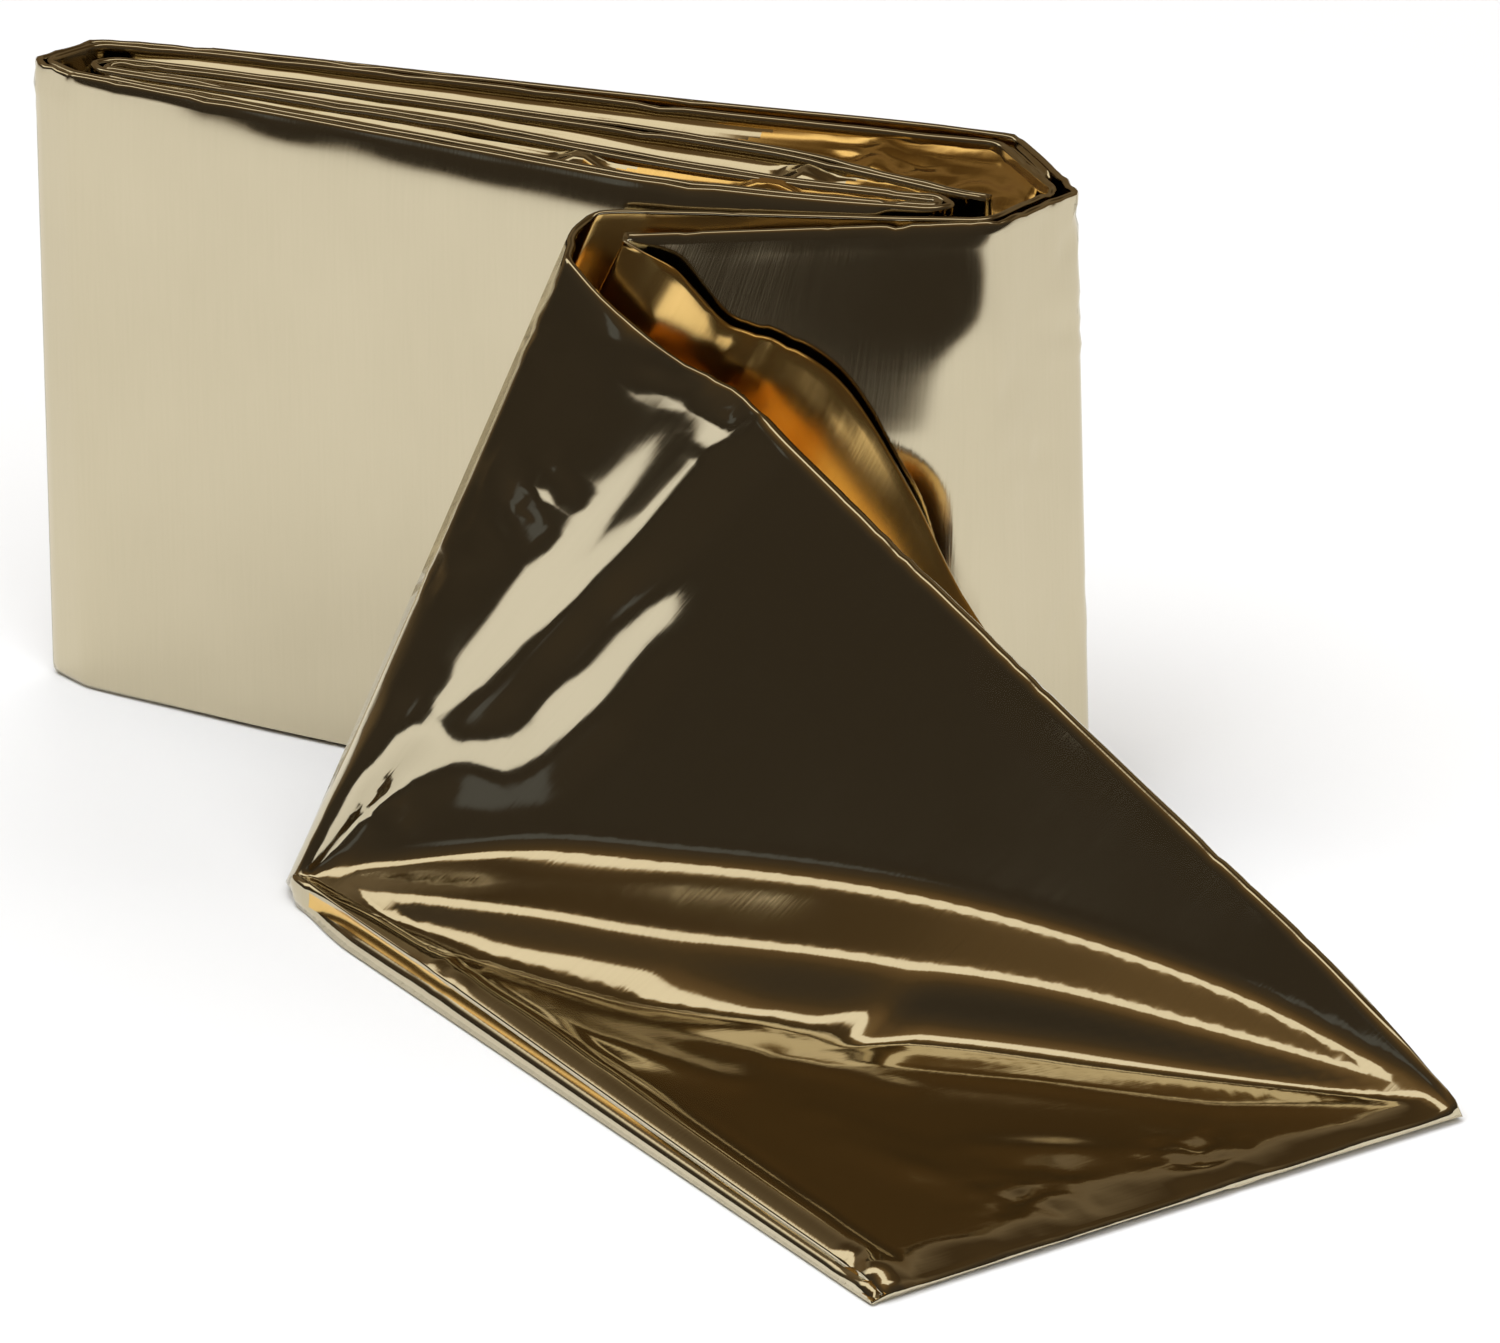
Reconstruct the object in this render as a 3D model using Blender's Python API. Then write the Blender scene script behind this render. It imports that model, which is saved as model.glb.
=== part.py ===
"""An emergency foil blanket, half unpacked.

The blanket is one sheet. Folded lengthwise it is a band of two layers, joined along its lower edge and open along
its upper edge. The band is folded back and forth into a packet that stands on that lower edge. Its last leaf runs
along the front, turns over a slanted crease and fans out over the floor as a tail.

The packet runs along X, its front faces -Y and +Z is up. L and R are the band's left and right layers, seen along
its run from the middle of the packet to the end of the tail.
"""

import math

import bpy
import numpy as np
from mathutils import Matrix

MM = 0.001

# Sheet and band
SHEET = 1.0  # thickness of a layer; every size below is in millimetres too
BAND = 80.0  # width of the band, and height of the packet
LEVELS = 14  # steps across each layer
TOP_LEVEL = 0.955  # the last step before the upper edge, at the foot of the shoulder
MID = SHEET / 2  # a layer's middle lies this high over the floor
FLOOR_REACH = 0.12  # what comes this near the floor lies flat on it

# The packet's front stands a little proud below its upper edge, as far as the front leaf that hides it
SHOULDER = 1.1
SHOULDER_FOOT = 0.93  # share of the height
SHOULDER_END = 90.0

# Long shallow waves that all layers of the packet share, and their unevenly high upper edges
WAVE_DEPTH = 0.35
WAVE_LENGTH = 47.0
WAVE_TURN = 1.3  # how far the wave shifts from floor to upper edge, in radians
EDGE_DROP = 0.55
EDGE_LENGTH = 57.0
EDGE_SHIFT = 1.9  # from one layer to the next, in radians
EDGE_KINDS = 3

# The packet's right end spreads towards the floor
SPLAY = 2.8
SPLAY_START = 108.0
SPLAY_LENGTH = 20.0

# Middle of the band in plan, from the packet's inner end outwards, at the upper edge.
# gap is from the middle of one layer to the middle of the other, and low is how much wider it is at the floor.
INNER_LEAF = (
    # x, y, gap, low
    (121.5, -4.4, 1.6, 0.2),
    (116.0, -2.9, 1.6, 0.2),
    (109.5, -1.9, 1.8, 0.2),
    (96.0, 1.9, 2.2, 0.2),
    (81.6, 3.2, 2.2, 0.2),
    (57.0, 4.4, 2.0, 0.2),
    (30.0, 5.3, 1.8, 0.2),
    (14.0, 5.4, 1.6, 0.0),
)
MIDDLE_LEAF = (
    # x, y, gap, low
    (14.0, 1.7, 1.6, 0.0),
    (30.0, 0.5, 1.8, 0.2),
    (57.0, -1.8, 2.0, 0.2),
    (81.6, -5.6, 2.0, 0.2),
    (100.0, -7.0, 1.8, 0.2),
    (110.0, -6.6, 1.6, 0.0),
)
FRONT_LEAF = (
    # x, y, gap, low
    (110.0, -10.2, 1.6, 0.0),
    (100.0, -11.3, 1.8, 0.2),
    (81.6, -11.8, 2.0, 0.3),
    (70.0, -10.0, 2.0, 0.3),
    (50.0, -7.1, 2.0, 0.3),
    (30.0, -4.4, 1.8, 0.3),
    (16.0, -2.2, 1.6, 0.1),
)
LEFT_END = (
    # x, y, gap, low
    (6.5, -0.7, 1.6, 0.1),
    (1.0, 2.4, 1.6, 0.0),
    (4.0, 8.4, 1.6, 0.0),
)
BACK_LEAF = (
    # x, y, gap, low
    (16.0, 9.5, 1.8, 0.0),
    (30.0, 10.0, 2.0, 0.0),
    (57.0, 10.5, 2.4, 0.0),
    (81.6, 10.7, 3.6, -0.6),
    (104.0, 11.8, 4.4, -1.0),
)
RIGHT_END = (
    # x, y, gap, low
    (117.6, 12.4, 3.2, -0.4),
    (128.4, 0.1, 2.6, 0.0),
    (124.0, -11.5, 2.0, 0.0),
)

# Round turns between the inner leaves: centre of the turn, and its radius in the middle of the band
INNER_TURN = dict(x=8.6, y=3.7, radius=1.6, start=90.0, sweep=180.0, gap=1.6)
FRONT_TURN = dict(x=116.0, y=-7.9, radius=1.6, start=90.0, sweep=-180.0, gap=1.6)
TURN_STEPS = 4

# The slanted crease: the ribs of each layer from the leaf round to the tail, by their lower end, the bend just over
# it (the lower end again where there is none) and their upper end
CREASE_L = (
    # low x, y, z, bend x, y, z, top x, y, z
    (54.6, -44.3, MID, 54.6, -44.3, MID, 86.4, -21.6, 76.8),
    (53.4, -44.9, MID, 53.4, -44.9, MID, 85.0, -22.0, 76.7),
    (52.3, -45.8, MID, 52.3, -45.8, MID, 83.7, -22.7, 76.8),
    (52.6, -47.2, MID, 52.6, -47.2, MID, 84.0, -23.8, 76.5),
    (53.1, -48.9, MID, 54.0, -46.9, MID, 86.8, -25.0, 75.8),
    (52.8, -50.5, MID, 54.3, -46.9, MID, 90.6, -25.9, 74.8),
)
CREASE_R = (
    # low x, y, z, bend x, y, z, top x, y, z
    (52.4, -42.9, MID, 52.4, -42.9, MID, 80.6, -17.0, 77.4),
    (50.4, -43.6, MID, 50.4, -43.6, MID, 77.7, -17.7, 77.1),
    (49.6, -45.0, MID, 49.6, -45.0, MID, 76.6, -21.6, 76.4),
    (49.8, -46.8, 0.7, 49.8, -46.8, 0.7, 77.5, -27.6, 75.4),
    (50.5, -49.2, 1.2, 50.8, -48.7, 1.2, 83.6, -30.8, 72.0),
    (51.4, -51.0, 2.0, 51.8, -49.3, 1.7, 92.2, -33.0, 67.0),
)
LEAF_STEPS = 7

# The tail: a rectangle of the band, bent up along its diagonal from heel to corner
HEEL = (53.0, -48.7)
LOWER_START = (52.5, -52.0)
LOWER_END = (149.2, -125.6)
CORNER = (196.4, -62.6)
PEAK = (101.7, -35.1, 62.0)
BACK_HEEL = (54.6, -46.8)
BACK_CORNER = (195.0, -61.4)
BACK_SET = 7.0  # how far the back layer's bend lies behind the front one's, half way
BACK_LIP = (
    # share of the tail's length, x, y, z of the back layer's upper edge
    (0.00, 95.0, -26.4, 73.5),
    (0.12, 104.5, -26.2, 70.0),
    (0.22, 112.0, -25.6, 63.5),
    (0.32, 118.0, -24.6, 52.0),
    (0.42, 124.0, -24.0, 40.0),
    (0.60, 142.0, -34.0, 26.0),
    (0.80, 167.0, -47.5, 12.0),
    (1.00, 195.0, -61.4, 0.5),
)
TAIL_STEPS = 22
FRONT_BEND = 12.0  # reach of the soft bend to each side, half way
BACK_BEND = 7.0
END_BEND = 0.6
FAN_POWER = 0.7  # under 1, the bend widens quickly from its ends
LOWER_RISE = 2.3  # height of the front layer's middle over the back layer's, along the lower edge
END_RISE = 1.5
RISE_SHARE = 0.76  # of a point's height, added to its distance behind the diagonal, gives the way over the foil
UPRIGHT_BY = 9.0  # height at which the foil faces forwards and no longer up
RIPPLES = (
    # offset from the diagonal half way, width, height
    (-12.0, 5.0, 1.5),
    (-30.0, 7.0, 1.2),
    (-47.0, 6.0, 0.8),
    (12.0, 5.0, 1.3),
)

SMALLEST = 1e-6  # keeps a rib with no length on one side of its bend from dividing by nothing

SHARP_FROM = 35.0
FOIL_COLOUR = (0.62, 0.55, 0.40, 1.0)
FOIL_ROUGHNESS = 0.15


def clear_scene():
    for obj in list(bpy.data.objects):
        bpy.data.objects.remove(obj, do_unlink=True)


def levels():
    """Shares of the band's width at which each layer has a row of points, from the lower edge up."""
    even = [step / (LEVELS - 1) for step in range(LEVELS)]
    return np.array(even[:-1] + [TOP_LEVEL, 1.0])


def smooth(share):
    share = np.clip(share, 0.0, 1.0)
    return share * share * (3.0 - 2.0 * share)


def turn(x, y, radius, start, sweep, gap):
    """Rows of a round turn, like those of the leaf tables."""
    rows = []
    for step in range(TURN_STEPS + 1):
        angle = math.radians(start + sweep * step / TURN_STEPS)
        rows.append((x + radius * math.cos(angle), y + radius * math.sin(angle), gap, 0.0))
    return rows


def plan_rows():
    front_turn = turn(**FRONT_TURN)
    inner_turn = turn(**INNER_TURN)
    packet = (*INNER_LEAF, *inner_turn, *MIDDLE_LEAF, *front_turn, *FRONT_LEAF)
    return np.array((*packet, *LEFT_END, *BACK_LEAF, *RIGHT_END))


def left_normals(plan):
    """At each point of a plan line, the way to its left, lengthened so that layers keep their spacing at corners."""
    runs = np.diff(plan, axis=0)
    runs /= np.linalg.norm(runs, axis=1)[:, None]
    before = np.vstack([runs[:1], runs])
    after = np.vstack([runs, runs[-1:]])
    mean = before + after
    mean /= np.linalg.norm(mean, axis=1)[:, None]
    stretch = 1.0 / np.sum(mean * before, axis=1)
    return np.stack([-mean[:, 1], mean[:, 0]], axis=1) * stretch[:, None]


def wave(x, share):
    """A shallow wave along the packet, a little out of step from floor to upper edge."""
    return WAVE_DEPTH * math.sin(2.0 * math.pi * x / WAVE_LENGTH + WAVE_TURN * share)


def upper_edge(x, kind):
    """Height of a layer's upper edge, uneven along its length."""
    swing = math.sin(2.0 * math.pi * x / EDGE_LENGTH + EDGE_SHIFT * kind)
    return BAND - MID - EDGE_DROP * (1.0 + swing) / 2.0


def splay(x, share):
    """How far the packet's right end stands out towards its foot."""
    return SPLAY * smooth((x - SPLAY_START) / SPLAY_LENGTH) * (1.0 - share)


def standing_layer(row, outward, bulge, kind):
    """Points of one upright layer of the packet, from the floor up. outward is the way to it from the middle."""
    x, y, gap, low = row
    top = upper_edge(x, kind)
    points = []
    for share in levels():
        proud = bulge * (1.0 - smooth((share - SHOULDER_FOOT) / (1.0 - SHOULDER_FOOT)))
        out = (gap + low * (1.0 - share)) / 2.0 + proud
        px = x + outward[0] * out + splay(x, share)
        py = y + outward[1] * out + wave(x, share)
        points.append((px, py, MID + (top - MID) * share))
    return np.array(points)


def packet_sections():
    """(L, R) points of each section of the packet."""
    rows = plan_rows()
    normals = left_normals(rows[:, :2])
    front_end = len(rows) - len(LEFT_END) - len(BACK_LEAF) - len(RIGHT_END)
    front = range(front_end - len(FRONT_LEAF), front_end)
    sections = []
    for index, (row, normal) in enumerate(zip(rows, normals)):
        bulge = SHOULDER if index in front and row[0] < SHOULDER_END else 0.0
        kind = index % EDGE_KINDS
        sections.append((standing_layer(row, normal, bulge, kind), standing_layer(row, -normal, 0.0, kind + 1)))
    return sections


def crease_sections(last):
    """The front leaf, from the packet's last section to the slanted crease, and round it."""
    rows = []
    for left, right in zip(CREASE_L, CREASE_R):
        rows.append(tuple(bent_rib(rib[:3], rib[3:6], rib[6:], END_BEND) for rib in (left, right)))
    sections = []
    for step in range(1, LEAF_STEPS + 1):
        share = step / (LEAF_STEPS + 1)
        sections.append(tuple(a + (b - a) * share for a, b in zip(last, rows[0])))
    return sections + rows


def bent_rib(low, bend, top, reach):
    """Points from low to top that turn softly near bend, within reach to each side."""
    low, bend, top = (np.array(point, float) for point in (low, bend, top))
    first, second = bend - low, top - bend
    first_run, second_run = np.linalg.norm(first), np.linalg.norm(second)
    first /= max(first_run, SMALLEST)
    second /= max(second_run, SMALLEST)
    reach = min(reach, first_run, second_run)
    points = []
    for share in levels():
        along = share * (first_run + second_run) - first_run
        if along <= -reach:
            points.append(bend + first * along)
        elif along >= reach:
            points.append(bend + second * along)
        else:
            part = (along + reach) / (2.0 * reach)
            points.append(bend - first * reach * (1.0 - part) ** 2 + second * reach * part**2)
    return np.array(points)


def between(start, end, share):
    return np.array(start, float) + (np.array(end, float) - np.array(start, float)) * share


def back_lip(share):
    table = np.array(BACK_LIP)
    return np.array([np.interp(share, table[:, 0], table[:, column]) for column in (1, 2, 3)])


def ripple(along, across):
    """Height of the fan of ripples that runs from the heel to the far corner of the tail."""
    fan = math.sin(math.pi * min(max(along, 0.0), 1.0))
    height = 0.0
    for offset, width, most in RIPPLES:
        height += most * fan * math.exp(-(((across - offset * fan) / width) ** 2))
    return height


def rippled(points, run, side, outward, length):
    """Lifts the tail's front layer into its fan of ripples."""
    for point in points:
        offset = point[:2] - np.array(HEEL)
        height = point[2] - MID - END_RISE
        upright = smooth(height / UPRIGHT_BY)
        way = np.array([0.0, 0.0, 1.0]) * (1.0 - upright) + outward * upright
        across = np.dot(offset, side) + RISE_SHARE * height
        point += way * ripple(np.dot(offset, run) / length, across)
    return points


def tail_sections():
    diagonal = np.array(CORNER) - np.array(HEEL)
    length = np.linalg.norm(diagonal)
    run = diagonal / length
    side = np.array([-run[1], run[0]])
    lift = np.array(PEAK) - np.array([*HEEL, 0.0])
    outward = np.array([-lift[2] * side[0], -lift[2] * side[1], np.dot(lift[:2], side)])
    outward /= np.linalg.norm(outward)
    sections = []
    for step in range(TAIL_STEPS + 1):
        share = step / TAIL_STEPS
        fan = math.sin(math.pi * share) ** FAN_POWER if 0 < step < TAIL_STEPS else 0.0
        rise = LOWER_RISE + (END_RISE - LOWER_RISE) * smooth(share)
        lower = between(LOWER_START, LOWER_END, share)
        bend = between(HEEL, CORNER, share)
        peak = between(PEAK, (*CORNER, MID + END_RISE), share)
        front_reach = END_BEND + (FRONT_BEND - END_BEND) * fan
        right = bent_rib((*lower, MID + rise), (*bend, MID + END_RISE), peak, front_reach)
        right = rippled(right, run, side, outward, length)
        back_bend = between(BACK_HEEL, BACK_CORNER, share) + side * BACK_SET * fan
        back_reach = END_BEND + (BACK_BEND - END_BEND) * fan
        left = bent_rib((*lower, MID), (*back_bend, MID), back_lip(share), back_reach)
        sections.append((left, right))
    return sections


def sheet_mesh(sections):
    """The band's middle surface: each section runs down the L layer, across the lower fold and up the R layer."""
    rows = [np.vstack([left[::-1], right]) for left, right in sections]
    count = len(rows[0])
    points = np.vstack(rows) * MM
    faces = []
    for row in range(len(rows) - 1):
        for column in range(count - 1):
            corner = row * count + column
            faces.append((corner, corner + 1, corner + count + 1, corner + count))
    # The tail's far end is a crisp fold: its two layers are joined there too.
    last = (len(rows) - 1) * count
    for column in range(count // 2 - 1):
        across = last + count - 1 - column
        faces.append((last + column, last + column + 1, across - 1, across))
    mesh = bpy.data.meshes.new("foil_blanket")
    mesh.from_pydata([tuple(point) for point in points], [], faces)
    mesh.validate()
    return mesh


def foil_material():
    material = bpy.data.materials.new("champagne_foil")
    material.use_nodes = True
    shader = material.node_tree.nodes["Principled BSDF"]
    shader.inputs["Base Color"].default_value = FOIL_COLOUR
    shader.inputs["Metallic"].default_value = 1.0
    shader.inputs["Roughness"].default_value = FOIL_ROUGHNESS
    return material


def rest_on_floor(obj):
    """Applies the thickness, flattens what lies on the floor and centres the solid's box over the origin."""
    graph = bpy.context.evaluated_depsgraph_get()
    solid = bpy.data.meshes.new_from_object(obj.evaluated_get(graph))
    obj.modifiers.clear()
    obj.data = solid
    for vertex in solid.vertices:
        if vertex.co.z < FLOOR_REACH * MM:
            vertex.co.z = 0.0
    points = np.array([vertex.co for vertex in solid.vertices])
    middle = (points.min(axis=0) + points.max(axis=0)) / 2.0
    solid.transform(Matrix.Translation((-middle[0], -middle[1], 0.0)))
    solid.shade_smooth()
    solid.set_sharp_from_angle(angle=math.radians(SHARP_FROM))


def foil_blanket():
    sections = packet_sections()
    sections += crease_sections(sections[-1])
    sections += tail_sections()
    obj = bpy.data.objects.new("foil_blanket", sheet_mesh(sections))
    bpy.context.scene.collection.objects.link(obj)
    obj.data.materials.append(foil_material())
    thickness = obj.modifiers.new("sheet", "SOLIDIFY")
    thickness.thickness = SHEET * MM
    thickness.offset = 0.0
    thickness.use_even_offset = True
    bpy.context.view_layer.update()
    rest_on_floor(obj)
    return obj


clear_scene()
foil_blanket()
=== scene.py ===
"""Looks of a half unpacked emergency foil blanket: one folded sheet, champagne outside and gold inside."""

import math

import bpy
import numpy as np
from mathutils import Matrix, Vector, noise


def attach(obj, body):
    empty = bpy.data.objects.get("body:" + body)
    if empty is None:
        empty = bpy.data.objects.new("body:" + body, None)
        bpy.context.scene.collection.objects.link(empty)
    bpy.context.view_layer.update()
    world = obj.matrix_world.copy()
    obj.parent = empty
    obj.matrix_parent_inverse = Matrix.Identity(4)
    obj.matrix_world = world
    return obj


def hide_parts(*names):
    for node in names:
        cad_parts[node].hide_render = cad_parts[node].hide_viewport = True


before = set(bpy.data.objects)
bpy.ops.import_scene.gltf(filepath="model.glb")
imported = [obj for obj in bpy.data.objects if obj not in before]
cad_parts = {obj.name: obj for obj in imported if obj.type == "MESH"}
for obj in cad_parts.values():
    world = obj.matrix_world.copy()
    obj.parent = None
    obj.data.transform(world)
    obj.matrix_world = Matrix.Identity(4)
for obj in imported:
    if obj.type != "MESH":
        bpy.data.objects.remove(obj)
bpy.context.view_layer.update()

MM = 0.001

# Packet's left tip in the model, in millimetres. Every table below is measured from it: X along the packet,
# and the front at -Y
TIP = (-98.159, 55.829)

# Sheet and band, in millimetres. The band has two layers: L lies on the left of its way and R on the right
SHEET = 0.4
BAND = 80.0
MID = SHEET / 2
FOLD_HEIGHT = 1.1  # height of the packet's round lower fold
FOLD_PINCH = 0.15  # share of a layer's distance that is left at the bottom of that fold
FOLD_BULGE = 0.25  # how far the fold then stands out under the layers
LEVEL_STEP = 1.6
EDGE_LEVELS = (0.3, 0.7, 1.3)  # closer rows of points next to each edge of a layer

# Packet in plan, at the upper edge: middle of the band, gap between its layers, how much wider the gap is at
# the floor, how far round each corner turns, and the spacing of the sections up to the next row
PACKET = (
    # x, y, gap, low, reach, step
    (121.5, -4.4, 1.4, 0.2, 0.0, 4.0),
    (109.5, -1.9, 1.6, 0.2, 4.0, 4.0),
    (96.0, 1.9, 2.0, 0.2, 5.0, 4.0),
    (81.6, 3.2, 2.2, 0.2, 5.0, 4.0),
    (30.0, 5.3, 1.8, 0.2, 6.0, 4.0),
    (14.0, 5.4, 1.6, 0.0, 3.0, 3.0),
    (8.6, 5.3, 1.6, 0.0, 1.4, 1.6),
    (7.0, 3.7, 1.6, 0.0, 1.1, 1.6),
    (8.6, 2.1, 1.6, 0.0, 1.4, 2.0),
    (14.0, 1.7, 1.6, 0.0, 3.0, 4.0),
    (30.0, 0.5, 1.8, 0.2, 6.0, 4.0),
    (57.0, -1.8, 2.0, 0.2, 6.0, 4.0),
    (81.6, -5.6, 2.0, 0.2, 5.0, 4.0),
    (100.0, -7.0, 1.8, 0.2, 4.0, 4.0),
    (110.0, -6.6, 1.6, 0.0, 2.0, 4.0),
    (116.0, -6.3, 1.6, 0.0, 1.4, 1.6),
    (117.6, -7.9, 1.6, 0.0, 1.1, 1.6),
    (116.0, -9.5, 1.6, 0.0, 1.4, 2.0),
    (110.0, -10.2, 1.6, 0.0, 2.0, 4.0),
    (100.0, -11.3, 1.8, 0.2, 6.0, 3.6),
    (81.6, -11.8, 2.0, 0.3, 6.0, 3.6),
    (70.0, -10.0, 2.0, 0.3, 6.0, 3.6),
    (50.0, -7.1, 2.0, 0.3, 6.0, 3.6),
    (30.0, -4.4, 1.8, 0.3, 6.0, 3.6),
    (16.0, -2.2, 1.6, 0.1, 4.0, 1.6),
    (5.8, -0.7, 1.4, 0.1, 0.9, 1.2),
    (0.1, 2.6, 1.4, 0.0, 1.2, 1.2),
    (4.2, 10.4, 1.6, 0.0, 1.6, 2.0),
    (16.0, 11.7, 1.8, 0.0, 5.0, 4.0),
    (30.0, 12.2, 2.0, 0.0, 6.0, 4.0),
    (57.0, 12.7, 2.4, 0.0, 6.0, 4.0),
    (81.6, 13.0, 3.4, -0.6, 6.0, 4.0),
    (104.0, 14.2, 4.0, -1.0, 5.0, 4.0),
    (118.0, 14.4, 3.2, -0.4, 1.8, 1.1),
    (129.3, 0.6, 2.6, 0.0, 1.6, 1.0),
    (124.4, -11.5, 2.0, 0.0, 2.2, 1.0),
)
SPLAY = 2.8
SPLAY_START = 108.0
SPLAY_LENGTH = 20.0

# The slanted crease, as ribs of each layer: lower end, bend, upper end, and the reach of the turn at each rib
CREASE_L = (
    # low x, y, z, bend x, y, z, top x, y, z
    (54.6, -44.3, 0.3, 54.6, -44.3, 0.3, 86.4, -21.6, 76.8),
    (53.4, -44.9, 0.3, 53.4, -44.9, 0.3, 85.0, -22.0, 76.7),
    (52.3, -45.8, 0.3, 52.3, -45.8, 0.3, 83.7, -22.7, 76.8),
    (52.6, -47.2, 0.3, 52.6, -47.2, 0.3, 84.0, -23.8, 76.5),
    (53.1, -48.9, 0.3, 54.0, -46.9, 0.3, 86.8, -25.0, 75.8),
    (52.8, -50.5, 0.3, 54.3, -46.9, 0.3, 90.6, -25.9, 74.8),
)
CREASE_R = (
    # low x, y, z, bend x, y, z, top x, y, z
    (52.4, -42.9, 0.3, 52.4, -42.9, 0.3, 80.6, -17.0, 77.4),
    (50.4, -43.6, 0.3, 50.4, -43.6, 0.3, 77.7, -17.7, 77.1),
    (49.6, -45.0, 0.3, 49.6, -45.0, 0.3, 76.6, -21.6, 76.4),
    (49.8, -46.8, 0.7, 49.8, -46.8, 0.7, 77.5, -27.6, 75.4),
    (50.5, -49.2, 1.2, 50.8, -48.7, 1.2, 83.6, -30.8, 72.0),
    (51.4, -51.0, 2.0, 51.8, -49.3, 1.7, 92.2, -33.0, 67.0),
)
CREASE_REACH = (3.0, 1.2, 1.0, 1.2, 2.0, 3.0)
CREASE_STEP = 1.4
JOIN_REACH = 1.5
LEAF_STEP = 1.5

# The tail: the band bent up along its diagonal from heel to corner
HEEL = (53.0, -48.7)
CORNER = (196.4, -62.6)
LOWER_START = (52.5, -52.0)
LOWER_END = (149.2, -125.6)
BACK_HEEL = (54.6, -46.8)
BACK_CORNER = (195.0, -61.4)
BACK_SET = 8.0
BACK_BEND = 7.0
END_BEND = 0.6
FAN_POWER = 0.7
LOWER_RISE = 3.7
END_RISE = 1.5
TAIL_STEPS = 90
JOIN_SHARE = 0.03  # share of the tail that still belongs to the turned ribs

# Cross-sections of the tail's front layer. c is the distance behind the diagonal and z the height over the
# layer's own rest: foot of the riser, ridge over it, end of the tread behind that, and upper edge.
FRONT_PROFILE = (
    # share, foot c, ridge c, ridge z, tread c, tread z, top c, top z, width of the slope over the tread
    (0.000, -0.3, -0.2, 0.3, 0.1, 0.7, 18.2, 62.0, 0.4),
    (0.060, -5.0, -4.1, 2.2, -0.5, 4.0, 17.1, 58.3, 3.0),
    (0.137, -8.4, -6.5, 4.2, 0.2, 7.4, 15.7, 53.5, 4.2),
    (0.268, -10.2, -8.0, 5.5, 1.6, 9.9, 13.4, 45.4, 3.2),
    (0.474, -10.8, -7.6, 6.8, 3.2, 11.5, 10.0, 32.5, 1.8),
    (0.632, -7.4, -5.1, 6.3, 3.7, 9.8, 7.9, 22.4, 1.2),
    (0.774, -5.0, -3.5, 4.2, 3.4, 6.8, 5.8, 13.7, 0.8),
    (0.914, -2.0, -1.45, 1.6, 1.4, 2.6, 2.45, 5.2, 0.4),
    (1.000, 0.0, 0.0, 0.0, 0.0, 0.0, 0.0, 0.0, 0.0),
)
# Short slope at the riser's foot: its size by share of the tail. In that size, it starts and ends this far in
# front of the foot and rises by FOOT_RISE. All of it lies FOOT_SET further back
FOOT_PLACES = (0.0, 0.06, 0.12, 0.18, 0.34, 0.44, 0.49, 0.525, 0.56, 0.60, 0.80, 1.0)
FOOT_SIZES = (0.5, 0.6, 0.9, 1.6, 2.2, 1.3, 1.5, 2.4, 1.4, 1.3, 1.3, 1.0)
FOOT_START, FOOT_END, FOOT_RISE = 2.4, 0.4, 1.25
FOOT_SET = 0.7
FULL_RIDGE = 5.5  # the slope has its full size where the ridge is this high
PALE_SLOPE = (0.85, 0.53)  # way of the short slope over the tread
FOOT_REACH = 0.9
RIDGE_REACH = 1.3
TREAD_REACH = 1.0
BACK_LIP = (
    # share, x, y, z of the back layer's upper edge
    (0.00, 92.8, -25.2, 71.8),
    (0.06, 96.5, -24.5, 67.9),
    (0.12, 101.0, -23.9, 66.8),
    (0.22, 110.0, -22.9, 61.6),
    (0.32, 118.0, -22.2, 49.2),
    (0.42, 124.6, -23.0, 37.5),
    (0.60, 142.0, -33.7, 25.0),
    (0.80, 167.0, -47.5, 11.8),
    (1.00, 195.0, -61.4, 0.5),
)
PEAK_RUN = 47.2  # how far along the diagonal the upper edge's first point lies
LOWER_SHIFT = (-0.91, -1.19)  # L's lower edge stands out this far under R's
# Rounded rim along R's lower edge: way up the layer, height
RIM_WAY = (0.0, 0.4, 1.3, 2.9, 4.5)
RIM_RISE = (-0.5, -0.2, 0.4, 0.9, 0.0)
RIM_START, RIM_END = 0.12, 0.03  # shares of the tail over which the rim starts and ends
# Faces in the middle of the tail's lower fold that take the gold foil: a painted warm reflection in the
# groove, whose own side is champagne
PAINTED_REFLECTION_COLUMNS = (-1, 0)
GROOVE = 1.6  # depth of the groove along the tail's lower edge, whose middle faces take the gold foil as a painted warm reflection
GROOVE_START = 0.1  # share of the tail over which the groove deepens
END_DROP = 1.1  # the tail's last millimetres slope down to its end
# Width of that slope, by the way from the lower corner along the end
END_WAY = (0.0, 10.0, 16.0, 28.0, 34.0, 42.0, 48.6, 56.4, 66.0, 74.0, 80.0)
END_WIDTH = (4.0, 6.5, 3.5, 6.8, 9.5, 5.0, 2.6, 5.7, 3.0, 4.5, 2.0)

# Rows of the packet, and what stands for a section's place in the tail
FRONT_ROW, END_ROW, RIGHT_ROW, LEAF_ROW, WEDGE_ROW, TAIL = 18.0, 25.9, 33.0, 35.0, 39.5, 100.0

# Depth of the shoulder under the packet's upper front edge, from left to right, and where it starts
SHOULDER_X = (6.0, 12.0, 30.0, 80.0)
SHOULDER_DEPTHS = (0.45, 0.75, 1.15, 1.5)
SHOULDER_FOOT = 70.0
SHOULDER_POWER = 2.25

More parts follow.
